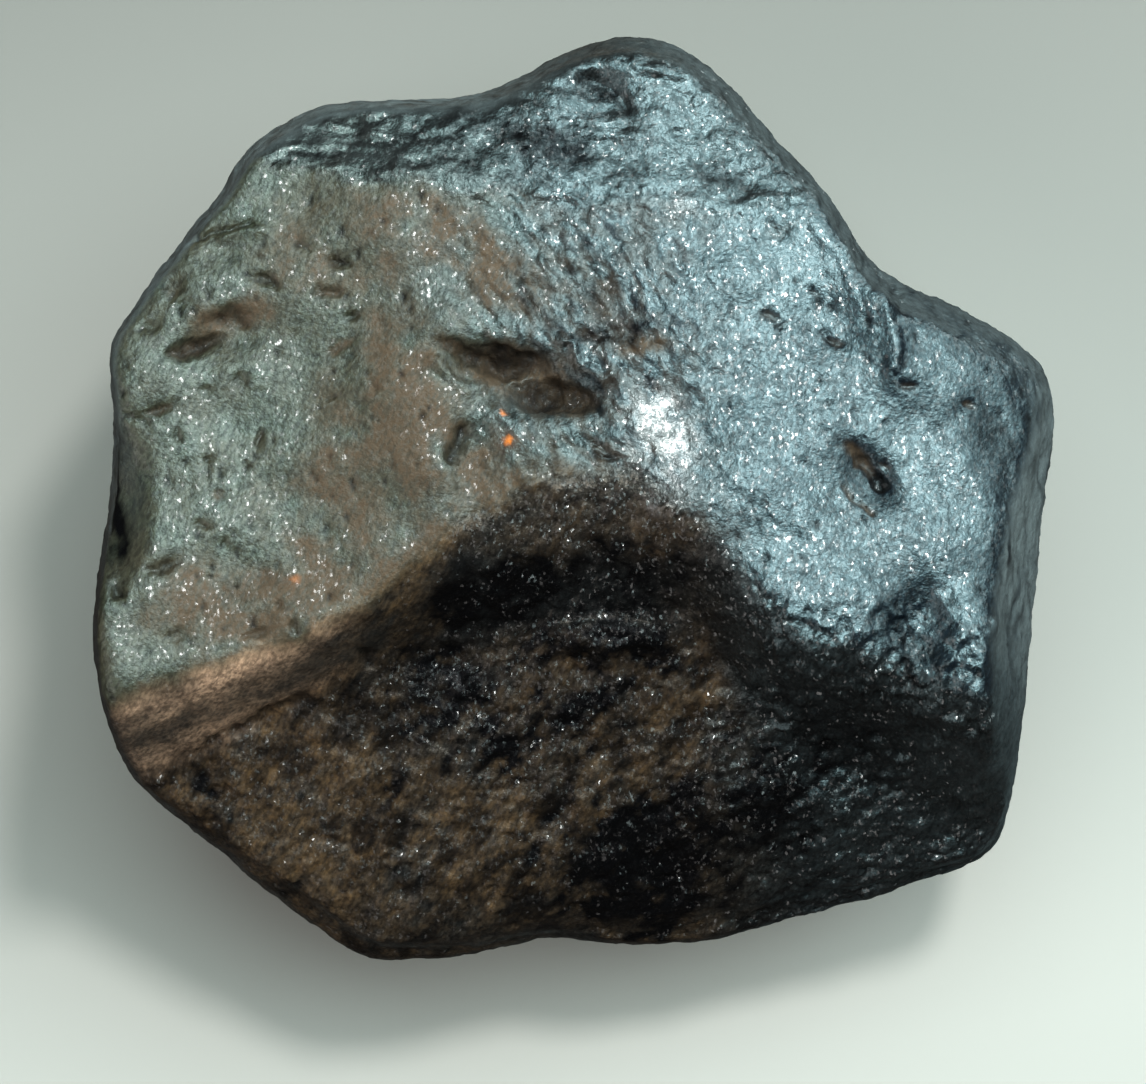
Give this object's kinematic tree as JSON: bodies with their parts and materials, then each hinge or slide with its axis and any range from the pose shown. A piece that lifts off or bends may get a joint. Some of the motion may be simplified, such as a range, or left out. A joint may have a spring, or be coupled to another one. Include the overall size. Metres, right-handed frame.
{
  "type": "rough alexandrite",
  "caption": "Rough, water-worn pebble of dark alexandrite with worn flats, two ledges, hollows and pits, lying on a small flat on its underside.",
  "frame": {"origin": "on the resting flat of the underside, below the middle of the stone's outline seen from above", "axes": "+Z out of the broad upper side, +X towards the right-hand corner, +Y towards the far lobe"},
  "size_m": [0.028, 0.027, 0.0152],
  "materials": {
    "stone": "satin"
  },
  "bodies": {
    "root": {"stone": "stone"}
  },
  "joints": []
}
